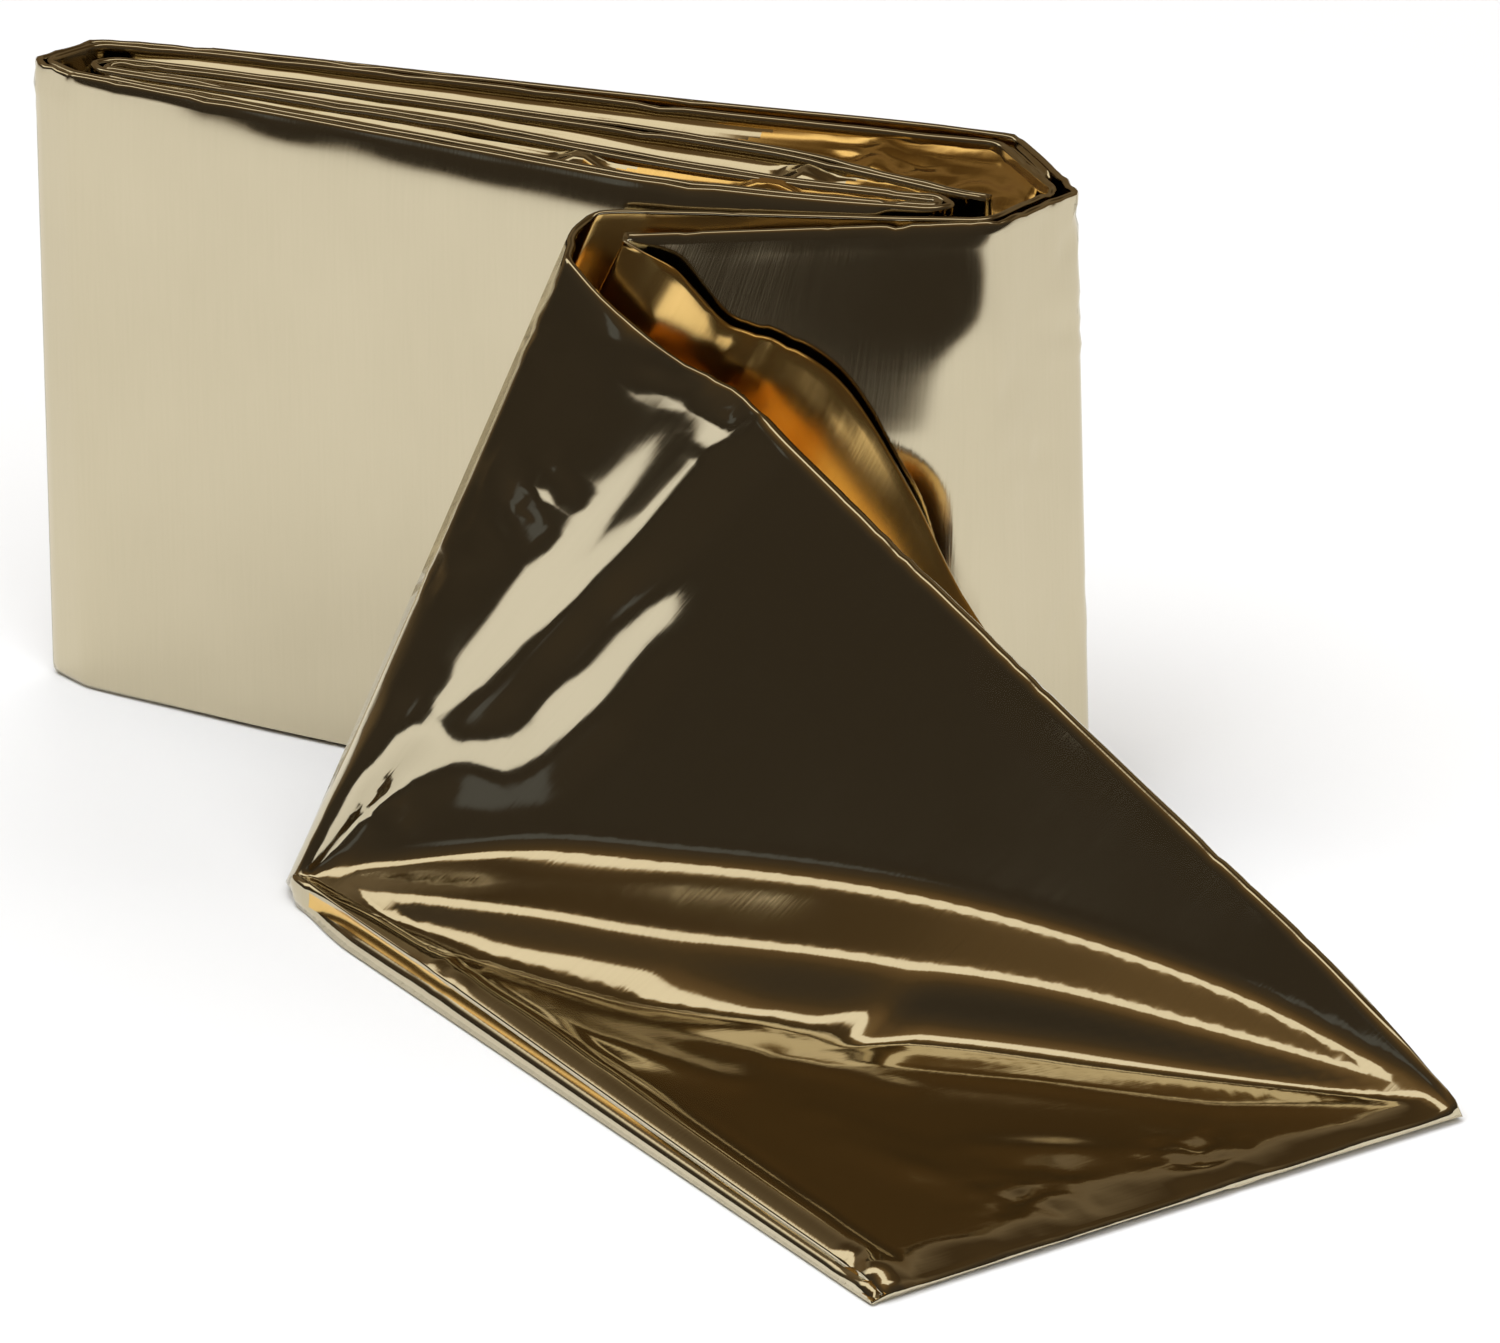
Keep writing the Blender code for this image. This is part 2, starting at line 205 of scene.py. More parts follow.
# The front leaf pushed forward, by the way from its right corner and by height
LEAF_ALONG = (-3.0, -0.5, 1.5, 5.5, 11.0, 22.0, 40.0)
LEAF_HEIGHTS = (0.0, 30.0, 52.0, 66.0, 80.0)
LEAF_PUSH = (
    (0.0, 0.0, 0.0, 0.0, 0.0),
    (0.0, 0.0, 0.0, 0.0, 0.0),
    (0.6, 1.4, 2.2, 2.5, 0.0),
    (1.5, 3.4, 4.9, 2.9, 0.0),
    (2.2, 3.8, 4.2, 2.3, 0.0),
    (1.2, 2.0, 2.2, 1.2, 0.0),
    (0.0, 0.0, 0.0, 0.0, 0.0),
)
LEAF_SOFT = 3

# Parts that creases and crumples lie in: first and last place, the axes that a crease's points give, and the
# lowest and highest point of the part, where its creases fade out over PART_FADE
PARTS = {
    "end": (23.5, 28.5, (0, 2), -5.0, 90.0),
    "corner": (32.5, 34.6, (0, 2), -5.0, 90.0),
    "leaf": (33.6, 37.0, (0, 2), -5.0, 90.0),
    "upright": (38.5, 101.0, (0, 2), 4.5, 90.0),
    "flat": (TAIL, 101.0, (0, 1), -5.0, 4.5),
    "lip": (37.0, 101.0, (0, 2), 3.0, 90.0),
}
PART_FADE = 1.5

# Rolled upper edges by place: how far L and R turn in, in degrees, and R's radius. L's lip over the tail
# turns out
HEM_PLACES = (0.0, 36.5, 38.0, 42.0, 100.0, 100.2, 100.8, 100.97, 101.0)
HEM_LEFT = (180.0, 180.0, 90.0, -90.0, -150.0, -150.0, -120.0, -20.0, -20.0)
HEM_RIGHT = (180.0, 180.0, 180.0, 160.0, 150.0, 150.0, 120.0, 20.0, 20.0)
HEM_RADIUS = (0.3, 0.3, 0.32, 0.4, 0.8, 0.8, 0.7, 0.3, 0.3)
HEM_LEFT_RADIUS = 0.3
HEM_POINTS = 5
LEAST_TURN = 0.05

# Waves and nicks of the upper edges. They fade out over the last part of the tail, which these shares give
WAVE, WAVE_LENGTH, WAVE_DEPTH = 0.3, 9.0, 2.5
NICK, NICK_LENGTH, NICK_LEVEL = 0.9, 4.0, 0.3
WORN_FADE = (0.7, 0.95)

# A crease is partly a sharp tent with a blunt top and partly a soft swelling. A crumple has finer dents too:
# their share of the depth, how much closer they lie, and where their pattern starts
TENT_BLUNT = 0.01
SWELLING = 1.5
FINE_SHARE, FINE_TIMES, FINE_START = 0.5, 2.1, (7.1, 3.3, 5.7)
CRUMPLE_LEVEL = 0.35
RIGHT_CREASES = (
    # part, width, crisp, points: along, up or across, height
    ("upright", 8.0, 0.8, (
        (84.5, 74.0, 0.8), (86.0, 66.0, 1.1), (82.0, 54.0, 1.3), (77.8, 43.5, 1.3), (71.0, 34.0, 1.0),
        (66.2, 24.6, 0.4),
    )),
    ("upright", 7.0, 0.8, (
        (101.5, 62.0, -1.1), (92.0, 49.5, -1.3), (83.5, 37.5, -1.3), (80.0, 33.0, -1.1),
        (77.0, 28.0, -0.9), (72.0, 23.5, -0.4),
    )),
    ("upright", 5.0, 0.7, (
        (97.3, 43.4, 0.2), (88.6, 37.2, 0.9), (81.6, 29.2, 1.0), (76.0, 21.5, 0.7), (70.0, 19.5, 0.3),
    )),
    ("upright", 5.0, 0.7, (
        (97.8, 42.8, -0.2), (94.0, 37.0, -0.9), (88.6, 27.5, -1.0), (81.0, 20.0, -0.8),
        (75.8, 17.8, -0.5),
    )),
    ("upright", 4.0, 0.6, (
        (66.2, 24.6, 0.3), (64.0, 21.5, 0.8), (60.3, 17.0, 0.9), (55.2, 8.5, 0.6), (53.0, 4.5, 0.3),
    )),
    ("upright", 4.0, 0.6, ((74.5, 18.5, -0.4), (68.5, 17.2, -0.8), (62.0, 12.0, -0.9), (56.5, 6.5, -0.5))),
    ("upright", 2.6, 0.8, ((73.0, 51.0, 0.2), (74.2, 47.8, 0.8), (76.6, 44.8, 0.2))),
    ("upright", 2.4, 0.8, ((77.4, 51.5, -0.2), (78.4, 47.8, -0.8), (78.2, 44.8, -0.2))),
    ("upright", 1.8, 0.8, ((78.8, 53.2, 0.2), (80.2, 50.4, 0.5))),
    ("upright", 1.8, 0.8, ((81.6, 54.0, -0.2), (82.4, 51.0, -0.5))),
    ("upright", 1.6, 0.9, (
        (84.5, 68.0, 0.2), (71.0, 50.0, 0.35), (71.5, 41.0, 0.35), (69.0, 36.0, 0.3), (64.0, 27.0, 0.2),
    )),
    ("upright", 1.8, 0.8, ((90.5, 58.6, 0.1), (80.0, 43.0, 0.35), (68.3, 25.5, 0.2))),
    ("upright", 1.8, 0.8, ((100.0, 62.0, 0.2), (90.0, 49.0, 0.45), (79.0, 36.0, 0.1))),
    ("upright", 6.0, 0.0, (
        (75.5, 75.0, -0.4), (70.0, 57.0, -0.6), (64.0, 41.0, -0.6), (58.0, 27.0, -0.6),
        (53.0, 14.0, -0.5), (48.5, 4.0, -0.3),
    )),
    ("flat", 3.0, 0.5, ((74.0, -66.5, 0.1), (77.5, -68.5, 0.5), (82.0, -71.5, 0.4), (84.0, -72.5, 0.1))),
    ("flat", 3.2, 0.4, ((84.6, -73.7, 0.1), (99.7, -80.1, 0.35), (117.5, -84.9, 0.2))),
    ("flat", 2.6, 0.4, ((110.8, -75.2, 0.1), (124.0, -77.5, 0.3), (136.1, -79.4, 0.2))),
    ("flat", 2.6, 0.4, (
        (129.0, -75.7, 0.2), (149.5, -73.1, 0.35), (170.4, -72.4, 0.25), (186.0, -66.5, 0.1),
    )),
    ("flat", 3.5, 0.3, ((134.9, -93.6, 0.1), (144.0, -98.0, 0.35), (151.6, -100.3, 0.1))),
    ("flat", 3.5, 0.3, ((147.1, -90.8, 0.1), (157.0, -88.5, 0.35), (164.8, -86.5, 0.1))),
    ("flat", 1.5, 0.9, (
        (104.0, -88.0, 0.1), (118.0, -94.0, 0.15), (131.0, -103.0, 0.15), (139.0, -112.0, 0.1),
    )),
    ("flat", 1.5, 0.9, ((128.0, -88.0, 0.1), (146.0, -94.0, 0.15), (158.0, -99.0, 0.1))),
)
LEFT_CRUMPLES = (
    # part, centre, radius, height, size of a dent
    ("end", (2.0, 1.0, 79.0), 8.0, 0.7, 3.2),
    ("end", (5.0, 9.0, 79.0), 7.0, 0.7, 3.2),
    ("corner", (129.0, 0.6, 78.0), 9.0, 0.7, 3.0),
    ("leaf", (127.0, -8.0, 50.0), 9.0, 0.5, 5.0),
    ("leaf", (130.0, -2.0, 64.0), 9.0, 0.5, 5.0),
    ("leaf", (131.0, -3.0, 26.0), 8.0, 0.5, 5.0),
    ("leaf", (125.5, -10.5, 58.0), 7.0, 0.5, 4.0),
    ("lip", (100.0, -25.0, 66.5), 8.0, 0.7, 2.2),
    ("lip", (111.0, -24.0, 60.5), 6.0, 0.6, 2.2),
)
RIGHT_CRUMPLES = (
    # part, centre, radius, height, size of a dent
    ("upright", (98.5, -33.5, 63.5), 8.0, 1.6, 3.0),
    ("upright", (90.0, -33.0, 66.0), 7.0, 1.1, 4.0),
    ("upright", (74.0, -31.0, 68.0), 8.0, 0.5, 3.5),
    ("upright", (67.0, -38.0, 40.0), 9.0, 0.5, 4.0),
    ("flat", (78.0, -68.5, 1.8), 7.0, 0.6, 3.0),
    ("flat", (147.5, -123.0, 2.0), 7.0, 1.1, 3.0),
    ("flat", (158.0, -100.0, 1.8), 12.0, 0.5, 4.0),
    ("flat", (172.0, -84.0, 1.8), 12.0, 0.5, 4.0),
    ("upright", (62.0, -47.0, 11.0), 6.0, 0.9, 2.5),
)

FOLD_PARTS = (0.25, 0.5, 0.75)  # points across the lower fold between the two layers

# Folds of the inner sheet that show between the leaves
INNER_SHEET = 0.2
INNER_STEP = 1.3
INNER_COLUMNS = 19
INNER_TOP = 1.0  # a strip's back edge lies this far down in a wide gap, and less in a narrow one
NARROW, WIDE = 0.42, 8.0  # share of INNER_TOP that is kept in a narrow gap, and width of a wide gap
INNER_MOST = 4.6  # most that a strip drops from its back to its front
INNER_BEHIND = 0.45  # a strip starts this far behind the middle of the leaf in front of it
INNER_CLEAR = 0.2  # and stays this far under the band's upper edge
SLOPE_CHANGE, SLOPE_LENGTH = 0.22, 15.0  # how much and over what length its slopes vary
GOLD_SLANT = 14.0  # the gold starts this much later at the back of a strip than at its front
CRINKLE_FROM, CRINKLE_REACH = 92.0, 12.0  # x where the crinkles start, and where they are full
CRINKLE_LEAST, CRINKLE_MORE, CRINKLE_GAP = 0.05, 0.75, 6.0  # heights, and the gap that has them in full
CRINKLE_SIZE = (3.2, 2.4)
CRINKLE_LEVEL, CRINKLE_DENT = 0.45, 1.6
TENT_POWER = 0.7
LEAST_GAP = 0.5
SKIRT = (10.0, 5.0, 1.0)  # how far the strip goes on down along the leaf before it
INNER_SLOPES = (0.64, 0.64, 1.3, 0.64, 0.15, 0.64, 0.64, 1.2)
INNER_FOLDS = (
    # name, layer before it and behind it (first row, last row, side), first x, last x, gold from x,
    # tents (x, half width, height)
    (
        "front_inner_fold", (18, 24, 1.0), (9, 14, -1.0), 9.0, 114.0, 66.0,
        ((72.0, 3.5, 1.6), (96.0, 4.0, 1.8)),
    ),
    ("middle_inner_fold", (9, 14, 1.0), (0, 5, -1.0), 11.0, 114.0, 92.0, ((98.0, 4.0, 1.8),)),
    ("back_inner_fold", (0, 5, 1.0), (28, 34, -1.0), 4.0, 126.0, 76.0, ((104.0, 3.0, 1.4),)),
    ("back_leaf_fold", (28, 34, -1.0), (28, 34, 1.0), 18.0, 126.0, 200.0, ()),
)

# Foil: colour where the rolling is fine and where it is deeper, and roughness
CHAMPAGNE = (0.60, 0.53, 0.375)
CHAMPAGNE_DEEP = (0.54, 0.475, 0.33)
GOLD = (0.84, 0.57, 0.21)
GOLD_DEEP = (0.76, 0.49, 0.16)
GOLD_ROUGHNESS, CHAMPAGNE_ROUGHNESS = 0.16, 0.05
# Fine lines from the rolling, and broad clouds: how often they come along and across, and the lines' depth
GRAIN_SCALE, CLOUD_SCALE = (2600.0, 90.0, 1.0), (60.0, 40.0, 1.0)
GRAIN_DEPTH, GRAIN_STRENGTH = 0.00006, 0.1
CLOUD_SHARE, GRAIN_SHARE = 0.6, 0.4  # of the deeper colour
CLOUD_ROUGH, GRAIN_ROUGH = 0.03, 0.05  # added roughness

# Room by height of the sight line, from straight down to straight up, and the pale strip of ceiling
FRONT_ROOM = (
    (0.00, (0.035, 0.028, 0.020)),
    (0.50, (0.040, 0.032, 0.023)),
    (0.66, (0.055, 0.044, 0.032)),
    (0.80, (0.075, 0.055, 0.034)),
    (0.88, (0.095, 0.064, 0.032)),
    (0.95, (0.16, 0.10, 0.045)),
    (1.00, (0.24, 0.155, 0.07)),
)
BACK_ROOM = (
    (0.00, (0.17, 0.12, 0.065)),
    (0.50, (0.17, 0.12, 0.065)),
    (0.70, (0.15, 0.10, 0.050)),
    (0.80, (0.20, 0.15, 0.09)),
    (0.88, (0.07, 0.045, 0.021)),
    (0.96, (0.09, 0.058, 0.026)),
    (1.00, (0.24, 0.155, 0.07)),
)
CEILING = (
    # distance of the sight line from the ceiling strip's middle, colour, share of the colour
    (0.000, (1.25, 1.16, 0.99), 1.0),
    (0.125, (1.25, 1.16, 0.99), 1.0),
    (0.150, (0.40, 0.27, 0.12), 1.0),
    (0.185, (0.40, 0.27, 0.12), 0.0),
)
CEILING_ENDS = (-0.95, -0.85, 0.35, 0.50)
ROOM_TURN = (-0.1, 0.35)  # y of the sight line where the front room gives way to the back room
# Dim grey patch in the room, seen low on the standing part
CARD_WAY = (-0.497, -0.797, 0.343)
CARD_EDGE = (0.9926, 0.9976)
CARD = (0.115, 0.118, 0.122)
FLOOR_COLOUR, FLOOR_ROUGHNESS = (0.86, 0.86, 0.86), 0.9
FLOOR_SIZE, FLOOR_DROP = 8.0, 0.0002
LIGHT_TINT = (0.95, 0.985, 1.03)
LIGHT_TARGET = (0.0, 0.0, 0.02)
LIGHTS = (
    # name, place, size, energy
    ("key", (-0.4, -0.5, 1.6), (1.4, 1.4), 25.5),
    ("fill", (0.9, -0.9, 1.3), (1.2, 1.2), 11.5),
    ("back_fill", (0.0, 1.2, 1.3), (1.6, 1.0), 10.5),
)

# Camera, in metres and millimetres of lens
CAMERA_PLACE = (0.3491, -0.9793, 0.4927)
CAMERA_TARGET = (-0.0174, 0.0851, 0.0)
LENS = 240.0
SENSOR = 36.0
CLIP = (0.05, 30.0)


def smooth(share):
    """Eases in and out between 0 and 1."""
    share = np.clip(share, 0.0, 1.0)
    return share * share * (3.0 - 2.0 * share)


def levels():
    """Shares of the band's width with a row of points, from the lower edge up."""
    edge = np.array(EDGE_LEVELS)
    inner = BAND - 2.0 * edge[-1]
    count = round(inner / LEVEL_STEP)
    middle = edge[-1] + np.arange(1, count) * inner / count
    return np.concatenate([[0.0], edge, middle, (BAND - edge)[::-1], [BAND]]) / BAND


SHARES = levels()


def rounded_line(corners, reach):
    """Points at SHARES of a line's length, whose corners are turned softly within reach."""
    corners = np.asarray(corners, float)
    runs = np.diff(corners, axis=0)
    lengths = np.linalg.norm(runs, axis=1)
    ways = runs / np.maximum(lengths, 1e-6)[:, None]
    starts = np.concatenate([[0.0], np.cumsum(lengths)])
    along = SHARES * starts[-1]
    index = np.clip(np.searchsorted(starts, along, side="right") - 1, 0, len(runs) - 1)
    points = corners[index] + ways[index] * (along - starts[index])[:, None]
    for corner in range(1, len(corners) - 1):
        radius = min(reach[corner], lengths[corner - 1] / 2.0, lengths[corner] / 2.0)
        near = np.abs(along - starts[corner]) < radius
        part = ((along[near] - starts[corner] + radius) / (2.0 * radius))[:, None]
        turned = corners[corner] - ways[corner - 1] * radius * (1.0 - part) ** 2
        points[near] = turned + ways[corner] * radius * part**2
    return points


def rib(low, bend, top, reach):
    """A layer's points from its lower edge, over the bend, to its upper edge."""
    if np.allclose(low, bend):
        return rounded_line((bend, top), (0.0, 0.0))
    return rounded_line((low, bend, top), (0.0, reach, 0.0))


def left_normals(plan):
    """Way to the left at each plan point, longer at a corner so that layers keep their distance."""
    runs = np.diff(plan, axis=0)
    runs /= np.linalg.norm(runs, axis=1)[:, None]
    before = np.vstack([runs[:1], runs])
    after = np.vstack([runs, runs[-1:]])
    mean = before + after
    mean /= np.linalg.norm(mean, axis=1)[:, None]
    stretch = 1.0 / np.sum(mean * before, axis=1)
    return np.stack([-mean[:, 1], mean[:, 0]], axis=1) * stretch[:, None]


def standing_rib(row, way):
    """One upright layer of the packet, whose foot curls in to the lower fold."""
    x, y, gap, low = row[:4]
    height = SHARES * BAND
    curl = np.sqrt(1.0 - np.clip(1.0 - height / FOLD_HEIGHT, 0.0, 1.0) ** 2)
    out = (gap + low * (1.0 - SHARES)) / 2.0 * (FOLD_PINCH + (1.0 - FOLD_PINCH) * curl)
    spread = SPLAY * smooth((x - SPLAY_START) / SPLAY_LENGTH) * (1.0 - SHARES)
    z = MID + (BAND - SHEET - MID) * SHARES
    return np.stack([x + way[0] * out + spread, y + way[1] * out, z], axis=1)


def packet_rows():
    """Ribs of both layers along the packet, with the reach of each turn and the spacing after it."""
    table = np.array(PACKET)
    normals = left_normals(table[:, :2])
    left = [standing_rib(row, normal) for row, normal in zip(table, normals)]
    right = [standing_rib(row, -normal) for row, normal in zip(table, normals)]
    return left, right, list(table[:, 4]), list(table[:, 5])


def crease_rows():
    """Ribs of both layers along the slanted crease."""
    left = [rib(row[:3], row[3:6], row[6:], END_BEND) for row in CREASE_L]
    right = [rib(row[:3], row[3:6], row[6:], END_BEND) for row in CREASE_R]
    return left, right


def curve_at(table, share):
    """A table's values at a share, read from the smooth curve through its rows."""
    table = np.array(table)
    at, values = table[:, 0], table[:, 1:]
    slopes = np.gradient(values, at, axis=0)
    row = int(np.clip(np.searchsorted(at, share) - 1, 0, len(at) - 2))
    span = at[row + 1] - at[row]
    t = (share - at[row]) / span
    start = values[row] * (1.0 + 2.0 * t) * (1.0 - t) ** 2 + slopes[row] * span * t * (1.0 - t) ** 2
    return start + values[row + 1] * t**2 * (3.0 - 2.0 * t) - slopes[row + 1] * span * t**2 * (1.0 - t)


def tail_frame():
    """Way along the tail's diagonal, way to the back of it, and its length."""
    diagonal = np.array(CORNER) - np.array(HEEL)
    length = np.linalg.norm(diagonal)
    run = diagonal / length
    return run, np.array([-run[1], run[0]]), length


def between(start, end, share):
    """Point at a share of the way from start to end."""
    return np.array(start, float) + (np.array(end, float) - np.array(start, float)) * share


def tail_ribs(share):
    """(L, R) layers of the tail at a share of its length."""
    run, side, length = tail_frame()
    fan = math.sin(math.pi * share) ** FAN_POWER if 0.0 < share < 1.0 else 0.0
    rise = LOWER_RISE + (END_RISE - LOWER_RISE) * smooth(share)
    lower = between(LOWER_START, LOWER_END, share)
    base = between(HEEL, CORNER, share)
    foot_c, ridge_c, ridge_z, tread_c, tread_z, top_c, top_z, pale = curve_at(FRONT_PROFILE, share)
    rest = MID + END_RISE
    slant = PEAK_RUN * (1.0 - share) / max(top_z, 1e-6)
    corners = [(*lower, MID + rise)]
    size = min(1.0, max(ridge_z, 0.0) / FULL_RIDGE)
    foot = float(np.interp(share, FOOT_PLACES, FOOT_SIZES))
    profile = [(foot_c + (FOOT_SET - FOOT_START * foot) * size, 0.0)]
    profile += [(foot_c + (FOOT_SET - FOOT_END * foot) * size, FOOT_RISE * foot * size)]
    profile += [(ridge_c, ridge_z)]
    slope_c, slope_z = (way * pale / 2.0 for way in PALE_SLOPE)
    profile += [(tread_c - slope_c, tread_z - slope_z), (tread_c + slope_c, tread_z + slope_z)]
    profile += [(top_c, top_z)]
    corners += [(*(base + side * c + run * slant * z), rest + z) for c, z in profile]
    reach = [value * fan + 0.1 for value in (FOOT_REACH, FOOT_REACH, RIDGE_REACH, TREAD_REACH, TREAD_REACH)]
    right = rounded_line(corners, (0.0, *reach))
    edge = smooth(share / RIM_START) * smooth((1.0 - share) / RIM_END)
    right[:, 2] += edge * np.interp(SHARES * BAND, RIM_WAY, RIM_RISE)
    width = np.interp(SHARES * BAND, END_WAY, END_WIDTH)
    right[:, 2] -= END_DROP * np.clip(1.0 - (1.0 - share) * length / width, 0.0, 1.0)
    back_base = between(BACK_HEEL, BACK_CORNER, share) + side * BACK_SET * fan
    back_reach = END_BEND + (BACK_BEND - END_BEND) * fan
    lip = curve_at(BACK_LIP, share)
    lower = lower + np.array(LOWER_SHIFT) * smooth(share / RIM_START)
    left = rib((*lower, MID), (*back_base, MID), lip, back_reach)
    return left, right


def offsets(length, first, last, step):
    """Places along a straight of the given length, close together in the turn at each end."""
    first, last = min(first, length / 2.0), min(last, length / 2.0)
    parts = np.array([0.0, 0.5])
    start = parts * first
    end = length - parts[:0:-1] * last
    middle = length - first - last
    count = max(1, math.ceil(middle / step))
    places = np.concatenate([start, first + middle * np.arange(count + 1) / count, end])
    return np.unique(np.round(places, 4))


def turned_rows(rows, reach, steps):
    """Rows of points, joined by straight runs and turned softly at each row. Both layers share the places."""
    rows = [np.concatenate(pair) for pair in zip(*rows)]
    runs = [after - before for before, after in zip(rows, rows[1:])]
    lengths = [np.linalg.norm(run, axis=1)[:, None] for run in runs]
    ways = [run / np.maximum(length, 1e-6) for run, length in zip(runs, lengths)]
    made, places = [], []
    for i, (start, way, length) in enumerate(zip(rows, ways, lengths)):
        mean = float(length.mean())
        for place in offsets(mean, reach[i], reach[i + 1], steps[i]):
            if place >= mean - 1e-3:
                continue
            along = length * place / mean
            points = start + way * along
            if i > 0:
                radius = np.minimum(reach[i], np.minimum(lengths[i - 1], length) / 2.0)
                radius = np.maximum(radius, 1e-6)
                part = (along + radius) / (2.0 * radius)
                bent = start - ways[i - 1] * radius * (1.0 - part) ** 2 + way * radius * part**2
                points = np.where(along < radius, bent, points)
            if i < len(runs) - 1:
                radius = np.minimum(reach[i + 1], np.minimum(lengths[i + 1], length) / 2.0)
                radius = np.maximum(radius, 1e-6)
                part = (radius - length + along) / (2.0 * radius)
                bent = rows[i + 1] - way * radius * (1.0 - part) ** 2 + ways[i + 1] * radius * part**2
                points = np.where(length - along < radius, bent, points)
            made.append(points)
            places.append(i + place / mean)
    return made, places


def sections():
    """All sections of L and of R, and each one's place: its row, or TAIL and a share of the tail."""
    left, right, reach, steps = packet_rows()
    steps[-1] = LEAF_STEP
    crease_left, crease_right = crease_rows()
    left += crease_left
    right += crease_right
    reach += list(CREASE_REACH)
    steps += [CREASE_STEP] * len(CREASE_REACH)
    for share in (0.0, JOIN_SHARE):
        layers = tail_ribs(share)
        left.append(layers[0])
        right.append(layers[1])
        reach.append(JOIN_REACH)
        steps.append(CREASE_STEP)
    made, places = turned_rows((left, right), reach, steps)
    for share in np.linspace(JOIN_SHARE, 1.0, TAIL_STEPS + 1):
        made.append(np.concatenate(tail_ribs(share)))
        places.append(TAIL + share)
    count = len(SHARES)
    grid = np.array(made)
    return grid[:, :count], grid[:, count:], np.array(places)


def leaf_push(left, places):
    """How far forward the front leaf is pushed: its upper part leans back from a slanted soft fold."""
    corner = int(np.argmin(np.abs(places - LEAF_ROW)))
    steps = np.linalg.norm(np.diff(left[:, -1], axis=0), axis=1)
    along = np.concatenate([[0.0], np.cumsum(steps)])
    along -= along[corner]
    table = np.array(LEAF_PUSH)
    push = np.zeros(left.shape[:2])
    for section in np.nonzero((places > RIGHT_ROW) & (places < WEDGE_ROW))[0]:
        row = [np.interp(along[section], LEAF_ALONG, column) for column in table.T]
        push[section] = np.interp(SHARES * BAND, LEAF_HEIGHTS, row)
    return soften(push, LEAF_SOFT)


def soften(field, times):
    """Averages a field over its neighbours."""
    for _ in range(times):
        for axis in (0, 1):
            padded = np.concatenate([np.take(field, [0], axis), field, np.take(field, [-1], axis)], axis)
            size = field.shape[axis]
            before, after = (np.take(padded, range(k, k + size), axis) for k in (0, 2))
            field = (before + 2.0 * field + after) / 4.0
    return field


def crease_height(points, line, width, crisp):
    """Height of a crease over points. The line's own points also give its height, negative for a trough."""
    line = np.array(line)
    nearest = np.full(points.shape[:-1], np.inf)
    most = np.zeros(points.shape[:-1])
    for start, end in zip(line, line[1:]):
        run = end[:2] - start[:2]
        t = np.clip(((points - start[:2]) @ run) / (run @ run), 0.0, 1.0)
        away = np.linalg.norm(points - (start[:2] + t[..., None] * run), axis=-1)
        height = start[2] + (end[2] - start[2]) * t
        most = np.where(away < nearest, height, most)
        nearest = np.minimum(nearest, away)
    away = nearest / width
    tent = np.maximum(0.0, 1.0 - np.sqrt(away**2 + TENT_BLUNT))
    soft = np.exp(-((SWELLING * away) ** 2))
    return most * (crisp * tent + (1.0 - crisp) * soft)


def crumple_height(points, centre, radius, height, size):
    """A crumpled spot: sharp ridges between shallow dents."""
    away = np.linalg.norm(points - np.array(centre), axis=-1) / radius
    made = np.zeros(points.shape[:-1])
    for index in np.argwhere(away < 1.0):
        index = tuple(index)
        place = Vector(points[index]) / size
        finer = noise.noise(place * FINE_TIMES + Vector(FINE_START))
        dents = abs(noise.noise(place)) + FINE_SHARE * abs(finer)
        made[index] = height * (1.0 - away[index] ** 2) ** 2 * (CRUMPLE_LEVEL - dents) * 2.0
    return made


def layer_relief(points, places, creases, crumples):
    """Relief of one layer, in millimetres outwards."""
    relief = np.zeros(points.shape[:2])
    for part, width, crisp, line in creases:
        first, last, axes, low, high = PARTS[part]
        found = np.nonzero((places >= first) & (places <= last))[0]
        chosen = points[found]
        height = chosen[..., 2]
        fade = smooth((height - low) / PART_FADE + 0.5) * smooth((high - height) / PART_FADE + 0.5)
        relief[found] += fade * crease_height(chosen[..., axes], line, width, crisp)
    for part, centre, radius, height, size in crumples:
        first, last = PARTS[part][:2]
        found = np.nonzero((places >= first) & (places <= last))[0]
        relief[found] += crumple_height(points[found], centre, radius, height, size)
    return relief


def outward(points, flip):
    """Each grid point's way out of the band."""
    along, across = np.gradient(points, axis=0), np.gradient(points, axis=1)
    ways = np.cross(along, across) * flip
    return ways / np.maximum(np.linalg.norm(ways, axis=2), 1e-9)[..., None]


def shoulder(points, places):
    """How far the packet's front stands before its own upper edge, which leans back."""
    deep = np.interp(points[:, 0, 0], SHOULDER_X, SHOULDER_DEPTHS)
    lean = np.clip((SHARES * BAND - SHOULDER_FOOT) / (BAND - SHOULDER_FOOT), 0.0, 1.0) ** SHOULDER_POWER
    return deep[:, None] * (1.0 - lean) * ((places >= FRONT_ROW) & (places < END_ROW))[:, None]


def hem(layer, out, radius, turn):
    """A layer whose upper edge is rolled in by an angle, or out where the angle is negative."""
    up = layer[:, -1] - layer[:, -4]
    up /= np.maximum(np.linalg.norm(up, axis=1), 1e-6)[:, None]
    length = math.pi * radius
    turn = np.where(np.abs(turn) < LEAST_TURN, LEAST_TURN, turn)
    curve = turn / length
    rise = np.where(np.abs(turn) > math.pi / 2.0, 1.0, np.sin(np.abs(turn))) / np.abs(curve)
    base = layer[:, -1] - up * rise[:, None]
    rolled = [base]
    for part in np.linspace(0.0, 1.0, HEM_POINTS + 1)[1:]:
        angle = turn * part
        over = (np.sin(angle) / curve)[:, None]
        back = ((1.0 - np.cos(angle)) / curve)[:, None]
        rolled.append(base + up * over - out[:, -4] * back)
    return np.concatenate([layer[:, :-3], np.stack(rolled, axis=1)], axis=1)


